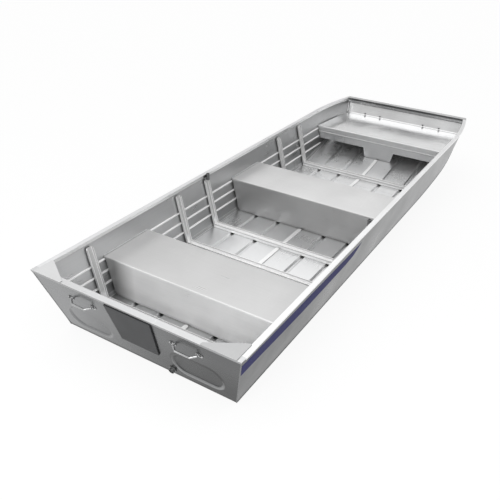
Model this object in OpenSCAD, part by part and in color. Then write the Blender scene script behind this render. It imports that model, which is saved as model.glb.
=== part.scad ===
// Flat-bottomed jon boat in mill-finish aluminium sheet.
// The hull is a grooved bottom sheet, a bow sheet swept up from it, two flared side sheets
// and a raked transom, stiffened by chines, rails, channel frames, two box benches and a bow deck.
// +X is the bow, +Y is port.

/* [Hull] */
// Length of the bottom from the foot of the transom to the bow edge
hull_l = 3555; // [3200:5:4200]
// Width of the flat bottom between the chines
bottom_w = 1042; // [900:2:1250]
// Height from the inside of the floor to the top of the gunwale
depth = 364; // [320:2:480]
// Lean of the side sheets outward from upright, degrees
side_flare = 14; // [6:0.5:20]
// Lean of the transom aft from upright, degrees
transom_rake = 17.5; // [5:0.5:24]
// Length over which the bottom sweeps up to the bend at the foot of the bow
bow_sweep_l = 980; // [850:5:1050]
// Height of the bend at the foot of the bow above the floor
bow_foot_z = 200; // [150:1:215]
// Lean of the flat of the bow forward from upright, degrees
bow_rake = 26; // [15:0.5:32]
// Width of the bow across the outside of the side sheets at the gunwale
bow_w = 1082; // [900:2:1160]
// Thickness of the bottom sheet
bottom_t = 3; // [2:0.5:5]
// Thickness of the side sheets
side_t = 3; // [2:0.5:5]
// Thickness of the transom plate
transom_t = 4; // [3:0.5:8]
// Height of the chine angle up the inside of the side sheet
chine_h = 22; // [12:1:40]

/* [Bottom grooves] */
// Distance of the inner pair of grooves from the centreline
groove_y_inner = 177; // [120:1:210]
// Distance of the outer pair of grooves from the centreline
groove_y_outer = 355; // [290:1:400]
// Width of a groove at the floor
groove_w = 34; // [24:1:48]
// Width of the flat at the foot of a groove
groove_foot_w = 12; // [6:1:20]
// Depth of a groove below the floor
groove_d = 12; // [6:0.5:20]
// Length over which a groove runs out at the stern
groove_run_in = 120; // [60:5:200]
// Length over which a groove runs out under the bow deck
groove_run_out = 260; // [120:5:400]

/* [Gunwale and caps] */
// Width of the gunwale top
gunwale_w = 28; // [22:1:60]
// Wall of the gunwale and cap extrusions
gunwale_t = 3; // [2:0.5:5]
// Drop of the outer lip of the gunwale
gunwale_lip = 14; // [8:1:24]
// Drop of the inner lip of the gunwale
gunwale_inner_lip = 20; // [10:1:30]
// Width of the transom cap from front to back
transom_cap_w = 37; // [30:1:60]
// Width of the bow cap from front to back
bow_cap_w = 50; // [36:1:60]
// Drop of the inner lip of the bow cap
bow_cap_lip = 34; // [20:1:40]
// Lap of a corner knee onto the gunwale
knee_lap = 4; // [2:1:20]
// Leg of a corner knee along the transom
knee_leg_y = 205; // [120:5:280]
// Leg of a corner knee along the gunwale
knee_leg_x = 118; // [80:2:180]
// Thickness of a corner knee
knee_t = 3; // [2:0.5:6]

/* [Side rails and frames] */
// Height of the lowest side rail above the floor
rail_z_low = 84; // [70:1:100]
// Rise from one side rail to the next
rail_pitch = 64.5; // [50:0.5:75]
// Height of a side rail
rail_h = 14; // [10:1:28]
// Depth of a side rail off the side sheet
rail_d = 8; // [5:0.5:14]
// Width of a frame channel along the boat
rib_w = 44; // [30:1:60]
// Wall of a frame channel
rib_t = 3; // [2:0.5:5]
// Depth of the frame channel on the sides
rib_d = 14; // [10:0.5:24]
// Height of the frame channel on the floor
rib_floor_h = 25; // [15:1:35]
// Rounding of the corners of the frame tops
rib_top_r = 12; // [4:1:16]
// Height of the frame tops above the floor
rib_top_z = 325; // [280:1:335]
// Gap from the stern frame to the rear bench
rib_gap_stern = 85; // [60:5:160]
// Gap from a bench to the frame ahead of it
rib_gap_ahead = 312; // [200:2:340]
// Gap from a bench to the frame behind it
rib_gap_behind = 287; // [200:2:330]

/* [Benches] */
// Aft face of the rear bench, from the foot of the transom
rear_bench_x = 325; // [280:5:400]
// Aft face of the middle bench, from the foot of the transom
mid_bench_x = 1605; // [1500:5:1700]
// Depth of a bench top from front to back
bench_d = 375; // [280:5:420]
// Height of a bench top above the floor
bench_h = 232; // [180:1:280]
// Thickness of the bench sheet
bench_t = 3; // [2:0.5:5]
// Radius of the folds along a bench top
bench_fold_r = 8; // [5:0.5:16]
// Width of the bench foot flanges, turned in under the bench
bench_foot_w = 30; // [15:1:45]

/* [Bow deck] */
// Length of the bow deck, from its aft edge to the bow edge
bow_deck_l = 570; // [500:5:650]
// Height of the bow deck above the floor
deck_h = 236; // [220:1:255]
// Thickness of the deck sheet
deck_t = 3; // [2:0.5:5]
// Radius of the upturn at the front of the deck
deck_upturn_r = 130; // [60:5:140]
// Drop of the lip along the aft edge of the deck
deck_lip = 50; // [25:1:60]
// Stand of the hem along the foot of the deck lip
deck_hem = 4; // [2:0.5:8]
// Drop of the deck face below the deck top
deck_face_h = 106; // [75:1:120]
// Width of the centre leg where it leaves the deck face
leg_top_w = 270; // [180:2:320]
// Width of the centre leg at the floor
leg_foot_w = 228; // [140:2:280]

/* [Transom fittings] */
// Width of the motor pad at its top
pad_top_w = 272; // [220:2:320]
// Width of the motor pad at its foot
pad_foot_w = 228; // [160:2:280]
// Height of the motor pad along the transom
pad_h = 246; // [180:2:270]
// Thickness of the motor pad
pad_t = 8; // [4:0.5:14]
// Thickness of the clamp board inside the transom
board_t = 20; // [12:1:30]
// Width of a stamped panel
panel_w = 278; // [200:2:300]
// Height of a stamped panel
panel_h = 152; // [90:2:170]
// Relief of a stamped panel
panel_relief = 6; // [1.5:0.5:8]
// Distance of the panel centres from the centreline
panel_y = 331; // [310:1:340]
// Bore of the drain
drain_d = 25.4; // [18:0.2:32]
// Distance of the drain to starboard of the centreline
drain_y = 167; // [80:1:170]
// Stand of the drain tube off the outside of the transom
drain_stand = 16; // [6:1:24]

/* [Handles and oar sockets] */
// Spacing of the feet of a carry handle
handle_span = 126; // [100:1:180]
// Length of the grip of a carry handle
handle_grip = 78; // [60:1:95]
// Reach of a carry handle off the plate
handle_reach = 30; // [26:1:60]
// Diameter of the handle rod
handle_rod_d = 10; // [8:0.5:14]
// Distance of the stern handle centres from the centreline
stern_handle_y = 310; // [250:1:360]
// Height of the stern handles above the floor
stern_handle_z = 272; // [240:1:285]
// Distance of the bow handle centres from the centreline
bow_handle_y = 272; // [200:1:320]
// Height of the bow handles above the floor
bow_handle_z = 245; // [235:1:290]
// Bore of an oar socket
oar_bore_d = 13; // [10:0.2:18]
// Length of an oar socket
oar_socket_l = 44; // [30:1:60]
// Wall of an oar socket
oar_wall = 5; // [3:0.5:8]

/* [Keel] */
// Width of the keelson strip on the floor
keelson_w = 26; // [20:1:60]
// Height of the keelson strip
keelson_h = 6; // [3:0.5:10]
// Width of the keel under the bottom
keel_w = 30; // [20:1:50]

/* [Hidden] */
$fn = 48;

mill = [0.74, 0.75, 0.76];
bright = [0.88, 0.89, 0.90];
pale = [0.80, 0.81, 0.82];
dull = [0.58, 0.59, 0.60];
dark = [0.34, 0.35, 0.36];
rod_grey = [0.50, 0.51, 0.53];

// Gap between sheets that lie against each other along a curve
sheet_gap = 0.2;
// Gap between parts that are riveted up against a flat
seat_gap = 0.1;
// Room kept past a face by a cutting solid
past = 5;
// Number of steps along the bow sweep and up the flat of the bow
bow_steps = 18;
plate_steps = 3;
// Number of steps along the bent length of the gunwale
gunwale_steps = 12;
// Nearness at which a station counts as the bend itself
bend_near = 0.01;
// Depth that is left of a groove where it has run out
groove_trace = 0.5;
// Number of steps around the upturn of the deck
upturn_steps = 10;
// Side rails on each side
rail_count = 3;

// Lie of the parts along the boat
deck_x = hull_l - bow_deck_l;
bow_edge_drop = 11;
bow_rise = depth - bow_edge_drop;
bow_lean = tan(bow_rake);
bow_foot_x = hull_l - (bow_rise - bow_foot_z) * bow_lean;
sweep_x = bow_foot_x - bow_sweep_l;
sweep_r = (bow_sweep_l * bow_sweep_l + bow_foot_z * bow_foot_z) / (2 * bow_foot_z);
bow_bay_rib_x = mid_bench_x + bench_d + rib_gap_ahead;
rib_x = [
    rear_bench_x - rib_gap_stern,
    rear_bench_x + bench_d + rib_gap_ahead,
    mid_bench_x - rib_gap_behind,
    bow_bay_rib_x,
    (bow_bay_rib_x + deck_x) / 2
];
oar_x = rib_x[2];

// Slopes and sheet thicknesses measured level
flare_slope = tan(side_flare);
rake_slope = tan(transom_rake);
side_level_t = side_t / cos(side_flare);
bow_pinch = bottom_w / 2 + depth * flare_slope - bow_w / 2;

// Pressed shape of a groove
groove_phi = atan2(groove_d, (groove_w - groove_foot_w) / 2);
groove_spread = bottom_t * tan(groove_phi / 2);
keel_h = groove_d;

// Ends of the assembled boat, which set its origin
stern_end = -(depth * rake_slope + transom_t / cos(transom_rake) + gunwale_t);
handle_end = -(stern_handle_z * rake_slope)
    - (transom_t + handle_reach + handle_rod_d / 2) * cos(transom_rake);
bow_front = hull_l + bottom_t / cos(bow_rake) + bow_edge_drop * bow_lean;
bow_end = bow_front + gunwale_t;
origin_x = (min(stern_end, handle_end) + bow_end) / 2;
ground_z = -(groove_d + bottom_t);

// Slope and height of the sweep at a distance from the transom
function floor_a(x) = x <= sweep_x ? 0 : asin((x - sweep_x) / sweep_r);
function floor_z(x) = sweep_r * (1 - cos(floor_a(x)));
// Path of the bottom sheet, as distance, height and slope: the sweep, the bend and the flat of the bow
bend_a = (floor_a(bow_foot_x) + 90 - bow_rake) / 2;
bend_spread = 1 / cos(bend_a - floor_a(bow_foot_x));
function path(x) = x < bow_foot_x - bend_near ? [x, floor_z(x), floor_a(x), 1]
    : x < bow_foot_x + bend_near ? [bow_foot_x, bow_foot_z, bend_a, bend_spread]
    : [x, bow_foot_z + (x - bow_foot_x) / bow_lean, 90 - bow_rake, 1];
// Height of the outside of the bottom sheet and of the flat of the bow
function sheet_low(x) = max(
    floor_z(x) - bottom_t / cos(floor_a(x)),
    bow_rise - (hull_l + bottom_t / cos(bow_rake) - x) / bow_lean);
// Narrowing of the sides towards the bow
function pinch(x) = x <= deck_x ? 0 : bow_pinch * pow((x - deck_x) / bow_deck_l, 2);
// Outside and inside of a side sheet
function side_y(x, z) = bottom_w / 2 + z * flare_slope - pinch(x);
function side_in(x, z) = side_y(x, z) - side_level_t;
// Share of the full groove depth along the boat
function groove_share(x) =
    x < groove_run_in ? max(0, x / groove_run_in)
    : x < deck_x ? 1
    : max(0, 1 - (x - deck_x) / groove_run_out);

sweep_stations = [for (i = [0 : bow_steps]) sweep_x + bow_sweep_l * i / bow_steps];
bow_stations = [for (i = [1 : plate_steps]) bow_foot_x + (hull_l - bow_foot_x) * i / plate_steps];

// Faces of a closed ring of points carried through a row of stations, with the faces that close its ends
function ring_faces(ring, rows, ends) = concat(
    ends,
    [for (r = [0 : rows - 2], i = [0 : ring - 1])
        [r * ring + i, (r + 1) * ring + i, (r + 1) * ring + (i + 1) % ring, r * ring + (i + 1) % ring]],
    [for (f = ends) [for (i = [len(f) - 1 : -1 : 0]) (rows - 1) * ring + f[i]]]
);
module loft(rings, ends = []) {
    points = [for (ring = rings, p = ring) p];
    ring = len(rings[0]);
    closing = len(ends) > 0 ? ends : [[for (i = [0 : ring - 1]) i]];
    polyhedron(points, ring_faces(ring, len(rings), closing), convexity = 10);
}
// End of a sheet of even thickness: its ring is a chain out to port and back, and the mirror of that
function sheet_end(ring) =
    let (half = ring / 2, chain = ring / 4)
    concat(
        [for (i = [0 : chain - 2]) [i, i + 1, half - 2 - i, half - 1 - i]],
        [[ring - 1, 0, half - 1, half]],
        [for (i = [0 : chain - 2]) [ring - 2 - i, ring - 1 - i, half + i, half + 1 + i]]
    );
function mirror_ring(ring) = [for (i = [len(ring) - 1 : -1 : 0]) [ring[i][0], -ring[i][1], ring[i][2]]];

// Placing of the whole boat on its origin
module afloat() {
    translate([-origin_x, 0, -ground_z]) children();
}
// Flat drawing laid on the inside of the transom: X to starboard, Y up the slope, Z aft
module on_transom(lift = 0) {
    rotate([0, -transom_rake, 0])
        rotate([90, 0, -90])
            translate([0, 0, lift])
                children();
}
// Drawing of X and Z carried across the boat
module across(half) {
    translate([0, half, 0]) rotate([90, 0, 0]) linear_extrude(2 * half) children();
}
// Drawing of Y and Z carried along the boat
module along(x0, x1) {
    translate([x0, 0, 0]) rotate([90, 0, 90]) linear_extrude(x1 - x0) children();
}
// Space above the floor, with its bow sweep
module above_floor() {
    across(bottom_w)
        polygon(concat(
            [[-hull_l / 2, 0]],
            [for (x = sweep_stations) [x, floor_z(x) + (x > sweep_x ? sheet_gap : 0)]],
            [[bow_foot_x, 2 * depth], [-hull_l / 2, 2 * depth]]
        ));
}
// Bottom sheet: floor points for half the width, as pairs of offset to port and rise off the floor
function groove_points(y, d, spread, drop) = [
    [y - groove_w / 2 - spread, -drop],
    [y - groove_foot_w / 2 - spread, -d - drop],
    [y + groove_foot_w / 2 + spread, -d - drop],
    [y + groove_w / 2 + spread, -drop]
];
function floor_place(x, y, n) = x <= 0
    ? [-n * rake_slope, y, n]
    : let (p = path(x)) [p[0] - n * p[3] * sin(p[2]), y, p[1] + n * p[3] * cos(p[2])];
function edge_place(x, n, inset) =
    let (p = floor_place(x, 0, n)) [p[0], side_in(p[0], p[2]) - sheet_gap - inset, p[2]];
function bottom_half(x) =
    let (
        d = max(groove_trace, groove_d * groove_share(x)),
        top = concat(groove_points(groove_y_inner, d, 0, 0), groove_points(groove_y_outer, d, 0, 0)),
        under = concat(
            groove_points(groove_y_inner, d, groove_spread, bottom_t),
            groove_points(groove_y_outer, d, groove_spread, bottom_t))
    )
    [
        [for (p = top) floor_place(x, p[0], p[1])],
        [edge_place(x, 0, 0), edge_place(x, -bottom_t, 0)],
        [for (i = [len(under) - 1 : -1 : 0]) floor_place(x, under[i][0], under[i][1])]
    ];
function bottom_ring(x) =
    let (
        h = bottom_half(x),
        port = concat(h[0], h[1], h[2])
    )
    concat(port, mirror_ring(port));

module floor_sheet(stations) {
    rings = [for (x = stations) bottom_ring(x)];
    color(mill) afloat() loft(rings, sheet_end(len(rings[0])));
}
module bottom_plate() {
    floor_sheet([0, groove_run_in, sweep_x]);
}
// Bow sheet: it carries the grooves on up the sweep, then bends to the flat of the bow
module bow_plate() {
    sweep_on = [for (i = [1 : bow_steps]) sweep_stations[i]];
    floor_sheet(concat([sweep_x + seat_gap], sweep_on, bow_stations));
}

// Chine: an angle along the inside corner of the bottom and the side, with a foot no wider than the rails
function chine_ring(x) =
    let (
        bed = sheet_gap,
        foot = rail_d,
        t = bottom_t
    )
    [
        edge_place(x, bed, foot),
        edge_place(x, bed, 0),
        edge_place(x, chine_h, 0),
        edge_place(x, chine_h, t),
        edge_place(x, bed + t, t),
        edge_place(x, bed + t, foot)
    ];
module chine() {
    sweep_on = [for (i = [0 : bow_steps - 1]) sweep_stations[i]];
    loft([for (x = concat([0], sweep_on)) chine_ring(x)]);
}
module chine_port() {
    color(bright) afloat() chine();
}
module chine_starboard() {
    color(bright) afloat() mirror([0, 1, 0]) chine();
}

// Side sheet: outside foot, outside top, inside top, inside foot
function side_ring(x, aft) =
    let (
        lo = sheet_low(x),
        hi = depth - gunwale_t
    )
    [for (c = [[0, lo], [0, hi], [side_level_t, hi], [side_level_t, lo]])
        [aft ? -c[1] * rake_slope : x, side_y(x, c[1]) - c[0], c[1]]];
module side_sheet() {
    stations = concat(sweep_stations, bow_stations);
    rings = concat([side_ring(0, true)], [for (x = stations) side_ring(x, false)]);
    loft([for (r = rings) [for (i = [3 : -1 : 0]) r[i]]]);
}
module side_port() {
    color(mill) afloat() side_sheet();
}
module side_starboard() {
    color(mill) afloat() mirror([0, 1, 0]) side_sheet();
}

// Transom plate with a pair of panels pressed in from outside
function slope_z(z) = z / cos(transom_rake);
function transom_half(w) = bottom_w / 2 + w * cos(transom_rake) * flare_slope;
panel_base = slope_z(42);
panel_run = 8;
// Solid with the sloped rim of a panel, its foot at zero and its full size at the height of the relief
module pressing(h) {
    foot_r = panel_h / 2 - panel_run;
    hull()
        for (s = [-1, 1])
            translate([s * (panel_w - panel_h) / 2, 0])
                cylinder(r1 = foot_r, r2 = foot_r + panel_run * h / panel_relief, h = h);
}
module at_panels(lift) {
    for (s = [-1, 1])
        translate([s * panel_y, panel_base + panel_h / 2, lift]) children();
}
drain_z = 30;
module transom_plate() {
    foot = slope_z(-bottom_t);
    top = slope_z(depth - gunwale_t);
    bump_root = 0.5;
    color(dull) afloat() on_transom() difference() {
        union() {
            linear_extrude(transom_t)
                polygon([
                    [-transom_half(foot), foot],
                    [transom_half(foot), foot],
                    [transom_half(top), top],
                    [-transom_half(top), top]
                ]);
            at_panels(-panel_relief) pressing(panel_relief + bump_root);
        }
        at_panels(transom_t - panel_relief) pressing(panel_relief + past);
        translate([drain_y, slope_z(drain_z), -past])
            cylinder(d = drain_d + 2 * drain_wall, h = transom_t + 2 * past);
    }
}

// Cap folded over the top edge of the transom
cap_front = -(depth * rake_slope) - transom_t / cos(transom_rake) - gunwale_t + transom_cap_w;
function transom_out(z) = -z * rake_slope - transom_t / cos(transom_rake);
module transom_cap() {
    lip_z = depth - gunwale_lip;
    under = depth - gunwale_t;
    half = side_y(0, depth) + gunwale_t;
    color(bright) afloat() intersection() {
        across(half)
            polygon([
                [transom_out(depth) - gunwale_t, depth],
                [cap_front, depth],
                [cap_front, lip_z],
                [cap_front - gunwale_t, lip_z],
                [cap_front - gunwale_t, under],
                [transom_out(under), under],
                [transom_out(lip_z), lip_z],
                [transom_out(lip_z) - gunwale_t, lip_z]
            ]);
        along(stern_end - past, cap_front + past)
            polygon([
                [-half, depth],
                [half, depth],
                [side_y(0, lip_z), lip_z],
                [-side_y(0, lip_z), lip_z]
            ]);
    }
}

// Cap across the bow: a top, a front lip over the sheet edge and a deep lip inside
bow_back = bow_end - bow_cap_w;
module bow_plan(inset) {
    steps = 4;
    xs = [for (i = [0 : steps]) bow_back - past + (bow_cap_w + 4 * past) * i / steps];
    polygon(concat(
        [for (x = xs) [x, side_y(x, depth) - inset]],
        [for (i = [steps : -1 : 0]) [xs[i], -side_y(xs[i], depth) + inset]]
    ));
}
module bow_cap() {
    half = bottom_w;
    lip_foot = depth - bow_cap_lip;
    color(bright) afloat() {
        intersection() {
            across(half)
                polygon([
                    [bow_back, depth],
                    [bow_back, depth - gunwale_t],
                    [bow_front, depth - gunwale_t],
                    [bow_front, depth - gunwale_lip],
                    [bow_end, depth - gunwale_lip],
                    [bow_end, depth]
                ]);
            linear_extrude(2 * depth) bow_plan(-gunwale_t);
        }
        intersection() {
            translate([bow_back, -half, lip_foot])
                cube([gunwale_t, 2 * half, depth - gunwale_t - lip_foot]);
            inner_lip = side_level_t + (depth - lip_foot) * flare_slope + sheet_gap;
            linear_extrude(2 * depth) bow_plan(inner_lip);
        }
    }
}

// Gunwale extrusion: an inverted channel over the top edge of the side sheet
function gunwale_ring(x) =
    let (
        lip_z = depth - gunwale_lip,
        under = depth - gunwale_t,
        in_z = depth - gunwale_inner_lip,
        y_top = side_y(x, depth) + gunwale_t,
        y_in = y_top - gunwale_w
    )
    [
        [x, y_top, depth],
        [x, y_in, depth],
        [x, y_in, in_z],
        [x, y_in + gunwale_t, in_z],
        [x, y_in + gunwale_t, under],
        [x, side_y(x, under) + sheet_gap, under],
        [x, side_y(x, lip_z) + sheet_gap, lip_z],
        [x, side_y(x, lip_z) + sheet_gap + gunwale_t, lip_z]
    ];
// The extrusion comes in two lengths, a straight one to the deck and a bent one to the bow cap
module gunwale() {
    bent_x = deck_x + seat_gap;
    bent_l = bow_back - seat_gap - bent_x;
    loft([for (x = [cap_front + seat_gap, deck_x]) gunwale_ring(x)]);
    loft([for (i = [0 : gunwale_steps]) gunwale_ring(bent_x + bent_l * i / gunwale_steps)]);
}
module gunwale_port() {
    color(bright) afloat() gunwale();
}
module gunwale_starboard() {
    color(bright) afloat() mirror([0, 1, 0]) gunwale();
}

// Corner knee riveted on top of the transom cap and the gunwale
module knee() {
    aft = transom_out(depth) - gunwale_t;
    corner = side_y(0, depth) + gunwale_t;
    out = corner - gunwale_w + knee_lap;
    nose = 16;
    translate([0, 0, depth + seat_gap])
        linear_extrude(knee_t)
            polygon([
                [aft, out],
                [aft + knee_leg_x, out],
                [aft + knee_leg_x, out - nose],
                [aft + nose, corner - knee_leg_y],
                [aft, corner - knee_leg_y]
            ]);
}
module knee_port() {
    color(pale) afloat() knee();
}
module knee_starboard() {
    color(pale) afloat() mirror([0, 1, 0]) knee();
}

// Side rails: three strips with sloped edges along the inside of a side sheet
rail_slant = 3;
function rail_end(z) =
    let (room = z - rail_h / 2 - chine_h - 2 * sheet_gap)
    min(deck_x - deck_hem - seat_gap, sweep_x + sqrt(pow(sweep_r, 2) - pow(sweep_r - room, 2)));
module rail(z) {
    start = -(z - rail_h) * rake_slope;
    translate([0, side_in(0, z) - seat_gap, z])
        rotate([-side_flare, 0, 0])
            along(start, rail_end(z))
                polygon([
                    [0, -rail_h / 2],
                    [0, rail_h / 2],
                    [-rail_d, rail_h / 2 - rail_slant],
                    [-rail_d, -rail_h / 2 + rail_slant]
                ]);
}
module rails() {
    for (i = [0 : rail_count - 1])
        rail(rail_z_low + i * rail_pitch);
}
module rails_port() {
    color(bright) afloat() rails();
}
module rails_starboard() {
    color(bright) afloat() mirror([0, 1, 0]) rails();
}

// Drawing of a box with its two upper corners rounded
module folded_box(w, h, r) {
    square([w, h - r]);
    translate([r, 0]) square([w - 2 * r, h]);
    for (x = [r, w - r])
        translate([x, h - r]) circle(r);
}

// Frame: an open channel bent to run across the floor and up both sides, standing on the rails,
// with the corners of its tops rounded
function frame_y(x, z) = side_in(0, z) - rail_d / cos(side_flare) - 3 * seat_gap;
module rib(x) {
    low = floor_z(x) - 2 * past;
    crook = floor_z(x) + rib_floor_h;
    bed = floor_z(x) + rib_t;
    top = rib_top_z;
    depth_y = rib_d / cos(side_flare);
    wall_y = rib_t / cos(side_flare);
    function outer(z) = frame_y(x, z);
    color(bright) afloat() intersection() {
        difference() {
            along(x - rib_w / 2, x + rib_w / 2)
                polygon([
                    [-outer(low), low],
                    [outer(low), low],
                    [outer(top), top],
                    [outer(top) - depth_y, top],
                    [outer(crook) - depth_y, crook],
                    [-outer(crook) + depth_y, crook],
                    [-outer(top) + depth_y, top],
                    [-outer(top), top]
                ]);
            along(x - rib_w / 2 + rib_t, x + rib_w / 2 - rib_t)
                polygon([
                    [-outer(bed) + wall_y, bed],
                    [outer(bed) - wall_y, bed],
                    [outer(depth) - wall_y, depth],
                    [-outer(depth) + wall_y, depth]
                ]);
        }
        above_floor();
        translate([x - rib_w / 2, 0, low]) across(bottom_w) folded_box(rib_w, top - low, rib_top_r);
    }
}
module rib_1() { rib(rib_x[0]); }
module rib_2() { rib(rib_x[1]); }
module rib_3() { rib(rib_x[2]); }
module rib_4() { rib(rib_x[3]); }
module rib_5() { rib(rib_x[4]); }

// Box bench: a sheet folded over the top, with its foot flanges turned in on the floor
// Space a bench fills across the boat: between the rails, and above them out to the side sheets
bench_side_gap = 2;
module bench_bay(x0, x1) {
    over = rail_z_low + (rail_count - 1) * rail_pitch + rail_h / 2 + bench_side_gap;
    top = max(bench_h, over) + past;
    function wide(z) = side_in(0, z) - bench_side_gap;
    function narrow(z) = wide(z) - rail_d;
    port = [
        [narrow(0), 0],
        [narrow(over), over],
        [wide(over), over],
        [wide(top), top]
    ];
    along(x0, x1)
        polygon(concat(port, [for (i = [len(port) - 1 : -1 : 0]) [-port[i][0], port[i][1]]]));
}
module bench(x) {
    inside = bench_d - 2 * bench_t;
    color(pale) afloat() intersection() {
        translate([x, 0, 0]) across(bottom_w)
            difference() {
                folded_box(bench_d, bench_h, bench_fold_r);
                translate([bench_t, bench_t])
                    folded_box(inside, bench_h - 2 * bench_t, bench_fold_r - bench_t);
                translate([bench_foot_w, -past])
                    square([bench_d - 2 * bench_foot_w, bench_t + 2 * past]);
            }
        bench_bay(x - past, x + bench_d + past);
    }
}
module rear_bench() { bench(rear_bench_x); }
module mid_bench() { bench(mid_bench_x); }

// Bow deck: one sheet with a lip along its aft edge, turned up at the front to lie on the flat of the bow
deck_under = deck_h - deck_t;
upturn_a = 90 - bow_rake;
upturn_x = bow_foot_x + (deck_under - bow_foot_z) * bow_lean - sheet_gap / cos(bow_rake)
    - deck_upturn_r * tan(upturn_a / 2);
function upturn(r) = [for (i = [0 : upturn_steps])
    let (a = upturn_a * i / upturn_steps)
    [upturn_x + r * sin(a), deck_under + deck_upturn_r - r * cos(a)]];
deck_side_gap = 1.5;
// Space between the side sheets from the deck forward
module between_sides(clear) {
    steps = 12;
    low = deck_h - deck_lip - past;
    start = deck_x - deck_hem - past;
    function row(x, z) = side_in(x, z) - clear;
    function bay(x) = [
        [x, -row(x, low), low],
        [x, row(x, low), low],
        [x, row(x, depth), depth],
        [x, -row(x, depth), depth]
    ];
    loft([for (i = [0 : steps]) bay(start + bow_deck_l * i / steps)]);
}
module bow_deck() {
    upper = upturn(deck_upturn_r - deck_t);
    lip_z = deck_h - deck_lip;
    hem_slant = deck_hem / 4;
    lip = [
        [deck_x, lip_z + 2 * deck_hem],
        [deck_x - deck_hem, lip_z + deck_hem + hem_slant],
        [deck_x - deck_hem, lip_z + hem_slant],
        [deck_x - deck_hem + hem_slant, lip_z],
        [deck_x + deck_t, lip_z],
        [deck_x + deck_t, deck_under]
    ];
    color(pale) afloat() intersection() {
        across(bottom_w)
            polygon(concat(
                lip,
                upturn(deck_upturn_r),
                [for (i = [upturn_steps : -1 : 0]) upper[i]],
                [[deck_x, deck_h]]
            ));
        between_sides(deck_side_gap);
    }
}

// Deck face: a panel behind the deck lip with a centre leg that tapers down to the floor
module deck_face() {
    x0 = deck_x + deck_t + seat_gap;
    foot_z = floor_z(x0 + deck_t) + sheet_gap;
    low_z = deck_h - deck_face_h;
    top_z = deck_under - seat_gap;
    half_low = side_in(x0, low_z) - deck_side_gap;
    half_top = side_in(x0, top_z) - deck_side_gap;
    color(mill) afloat() along(x0, x0 + deck_t)
        polygon([
            [half_top, top_z],
            [half_low, low_z],
            [leg_top_w / 2, low_z],
            [leg_foot_w / 2, foot_z],
            [-leg_foot_w / 2, foot_z],
            [-leg_top_w / 2, low_z],
            [-half_low, low_z],
            [-half_top, top_z]
        ]);
}

// Keelson: strips with round ends that follow the floor between the frames, the benches and the deck leg
keelson_gap = 7;
keelson_steps = 10;
module keelson_strip(x0, x1) {
    r = keelson_w / 2;
    xs = [for (i = [0 : keelson_steps]) x0 + (x1 - x0) * i / keelson_steps];
    function row(n) = [for (x = xs) let (q = floor_place(x, 0, n)) [q[0], q[2]]];
    foot = row(sheet_gap);
    top = row(sheet_gap + keelson_h);
    intersection() {
        across(r) polygon(concat(foot, [for (i = [keelson_steps : -1 : 0]) top[i]]));
        linear_extrude(depth) {
            translate([x0 + r, -r]) square([x1 - x0 - 2 * r, keelson_w]);
            for (x = [x0 + r, x1 - r])
                translate([x, 0]) circle(r);
        }
    }
}
module keelson() {
    bays = [
        [rib_x[0] + rib_w / 2, rear_bench_x],
        [rear_bench_x + bench_d, rib_x[1] - rib_w / 2],
        [rib_x[1] + rib_w / 2, rib_x[2] - rib_w / 2],
        [rib_x[2] + rib_w / 2, mid_bench_x],
        [mid_bench_x + bench_d, rib_x[3] - rib_w / 2],
        [rib_x[3] + rib_w / 2, rib_x[4] - rib_w / 2],
        [rib_x[4] + rib_w / 2, deck_x]
    ];
    color(bright) afloat()
        for (b = bays)
            keelson_strip(b[0] + keelson_gap, b[1] - keelson_gap);
}

// Keel: a tapered strip under the flat of the bottom, as deep as the pressed grooves
module keel() {
    foot = keel_w * 0.6;
    start = groove_run_in;
    color(mill) afloat() along(start, sweep_x)
        polygon([
            [-keel_w / 2, -bottom_t - seat_gap],
            [keel_w / 2, -bottom_t - seat_gap],
            [foot / 2, -bottom_t - keel_h],
            [-foot / 2, -bottom_t - keel_h]
        ]);
}

// Motor pad outside the transom and clamp board inside it
module motor_pad() {
    top = slope_z(depth - gunwale_lip) - 2;
    color(dark) afloat() on_transom(transom_t + seat_gap)
        linear_extrude(pad_t)
            polygon([
                [-pad_top_w / 2, top],
                [pad_top_w / 2, top],
                [pad_foot_w / 2, top - pad_h],
                [-pad_foot_w / 2, top - pad_h]
            ]);
}
module motor_board() {
    top = slope_z(depth - gunwale_lip) - 2;
    color(dull) afloat() on_transom(-board_t - seat_gap)
        linear_extrude(board_t)
            polygon([
                [-pad_top_w / 2, top],
                [pad_top_w / 2, top],
                [pad_foot_w / 2, top - pad_h],
                [-pad_foot_w / 2, top - pad_h]
            ]);
}

// Drain: a flanged tube through the transom, standing off it outside
drain_wall = 2.2;
drain_flange = 9;
drain_flange_t = 3;
module drain_fitting() {
    inside = 10;
    tube_l = inside + transom_t + drain_stand;
    color(rod_grey) afloat() on_transom()
        translate([drain_y, slope_z(drain_z), 0])
            difference() {
                union() {
                    translate([0, 0, -inside])
                        cylinder(d = drain_d + 2 * drain_wall - 2 * seat_gap, h = tube_l);
                    translate([0, 0, transom_t + seat_gap])
                        cylinder(d = drain_d + 2 * drain_flange, h = drain_flange_t);
                }
                translate([0, 0, -inside - past])
                    cylinder(d = drain_d, h = tube_l + 2 * past);
            }
}

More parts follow.
